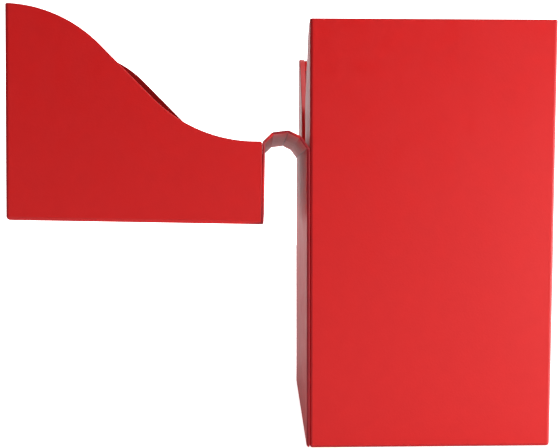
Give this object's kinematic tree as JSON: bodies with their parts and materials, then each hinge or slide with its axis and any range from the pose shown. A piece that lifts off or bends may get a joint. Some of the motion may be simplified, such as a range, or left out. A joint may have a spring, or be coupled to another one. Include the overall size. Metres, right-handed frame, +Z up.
{
  "type": "card deck box",
  "caption": "Upright flip-lid box for a deck of trading cards, with a deep curved-sided lid on a folding strip hinge, shown with the lid laid back.",
  "frame": {"origin": "centre of the face that the base stands on", "axes": "+Z up, -Y the front of the box, +Y the side of the hinge and the opened lid, X across the box"},
  "size_m": [0.076, 0.1244, 0.1008],
  "materials": {
    "leatherette": "matte smooth red leatherette",
    "board": "matte dyed sheet",
    "lining": "fine red microfibre"
  },
  "bodies": {
    "base": {"base_left_board": "board", "base_right_board": "board", "base_front_board": "board", "base_back_board": "board", "base_bottom_board": "board", "base_wrap": "leatherette", "base_back_skin": "leatherette", "base_bottom_skin": "leatherette", "base_side_lining": "lining", "base_floor_lining": "lining", "back_cover_board": "board", "back_cover_skin": "leatherette"},
    "hinge_facet_1": {"hinge_slat_1": "board", "hinge_skin_1": "leatherette"},
    "hinge_facet_2": {"hinge_slat_2": "board", "hinge_skin_2": "leatherette"},
    "hinge_facet_3": {"hinge_slat_3": "board", "hinge_skin_3": "leatherette"},
    "hinge_facet_4": {"hinge_slat_4": "board", "hinge_skin_4": "leatherette"},
    "lid_back": {"lid_back_board": "board", "lid_back_skin": "leatherette"},
    "lid_shell": {"lid_top_board": "board", "lid_front_board": "board", "lid_left_board": "board", "lid_right_board": "board", "lid_wrap": "leatherette", "lid_lining": "lining"}
  },
  "joints": [
    {"name": "strip_lower_bend", "type": "hinge", "parent": "base", "child": "hinge_facet_2", "pos_m": [0, 0.02882, 0.0702], "axis": [1, 0, 0], "range_deg": [0, 64.1]},
    {"name": "strip_upper_bend", "type": "hinge", "parent": "hinge_facet_2", "child": "hinge_facet_4", "pos_m": [0, 0.03443, 0.07281], "axis": [1, 0, 0], "range_deg": [0, 69.7]},
    {"name": "crease_1", "type": "hinge", "parent": "base", "child": "hinge_facet_1", "pos_m": [0, 0.0284, 0.0689], "axis": [1, 0, 0], "range_deg": [-0.01, 35.61]},
    {"name": "crease_3", "type": "hinge", "parent": "hinge_facet_2", "child": "hinge_facet_3", "pos_m": [0, 0.03259, 0.0725], "axis": [1, 0, 0], "range_deg": [-0.01, 32.61]},
    {"name": "crease_5", "type": "hinge", "parent": "hinge_facet_4", "child": "lid_back", "pos_m": [0, 0.03783, 0.07027], "axis": [1, 0, 0], "range_deg": [-15, 45.15]},
    {"name": "lid_top_fold", "type": "hinge", "parent": "lid_back", "child": "lid_shell", "pos_m": [0, 0.03817, 0.05183], "axis": [1, 0, 0], "range_deg": [-40, 0]}
  ],
  "couplings": [
    {"joint": "crease_1", "follows": "strip_lower_bend", "ratio": 0.55538},
    {"joint": "crease_3", "follows": "strip_upper_bend", "ratio": 0.46772}
  ]
}
